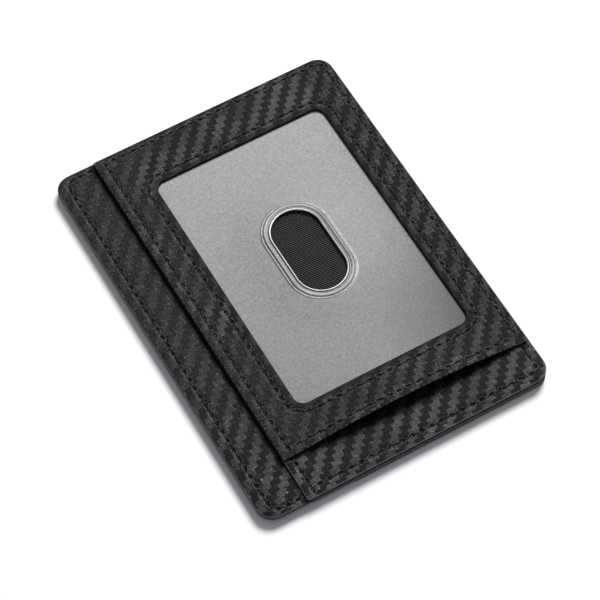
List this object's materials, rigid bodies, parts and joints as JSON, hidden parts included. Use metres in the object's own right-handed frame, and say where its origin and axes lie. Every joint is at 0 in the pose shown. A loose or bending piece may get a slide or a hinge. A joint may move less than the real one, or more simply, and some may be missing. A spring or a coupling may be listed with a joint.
{
  "type": "minimalist wallet",
  "caption": "Slim card wallet in twill-embossed leather with a frosted window pocket, a thumb slot, card pockets and a centre cash pocket.",
  "frame": {"origin": "centre of the outline, on the surface that the wallet lies on", "axes": "+X to the closed long edge, +Y away from the window panel's lip, +Z out of the window side"},
  "size_m": [0.0788, 0.11, 0.0077],
  "materials": {
    "twill_leather": "2/2 twill emboss, satin coat",
    "lining_cloth": "plain lining cloth",
    "ribbed_cloth": "fine ribbed weave",
    "shield_foil": "thin matte foil",
    "frosted_sheet": "frosted, translucent, glossy rim",
    "black_thread": "twisted thread"
  },
  "bodies": {
    "back_half": {"back_body_panel": "twill_leather", "cash_pocket_back_lining": "lining_cloth", "back_shield_foil": "shield_foil", "back_inner_pocket_panel": "twill_leather", "back_inner_pocket_lining": "lining_cloth", "back_outer_pocket_panel": "twill_leather", "back_outer_pocket_lining": "lining_cloth", "back_strip_edge_thread": "black_thread", "back_inner_mouth_thread": "black_thread", "back_outer_pocket_thread": "black_thread"},
    "front_half": {"front_body_panel": "twill_leather", "cash_pocket_front_lining": "lining_cloth", "front_shield_foil": "shield_foil", "front_pocket_panel": "twill_leather", "front_pocket_lining": "lining_cloth", "id_pocket_ribbed_lining": "ribbed_cloth", "window_panel": "twill_leather", "window_panel_backing": "lining_cloth", "window_sheet": "frosted_sheet", "strip_edge_thread": "black_thread", "front_pocket_edge_thread": "black_thread", "front_mouth_lower_thread": "black_thread", "window_edge_thread": "black_thread", "window_panel_edge_thread": "black_thread", "window_panel_mouth_thread": "black_thread", "lip_thread": "black_thread"}
  },
  "joints": [
    {"name": "cash_pocket_mouth", "type": "hinge", "parent": "back_half", "child": "front_half", "pos_m": [0.0394, 0, 0.00229], "axis": [0, 1, 0], "range_deg": [0, 9], "stiffness_Nm_per_rad": 0.2}
  ]
}
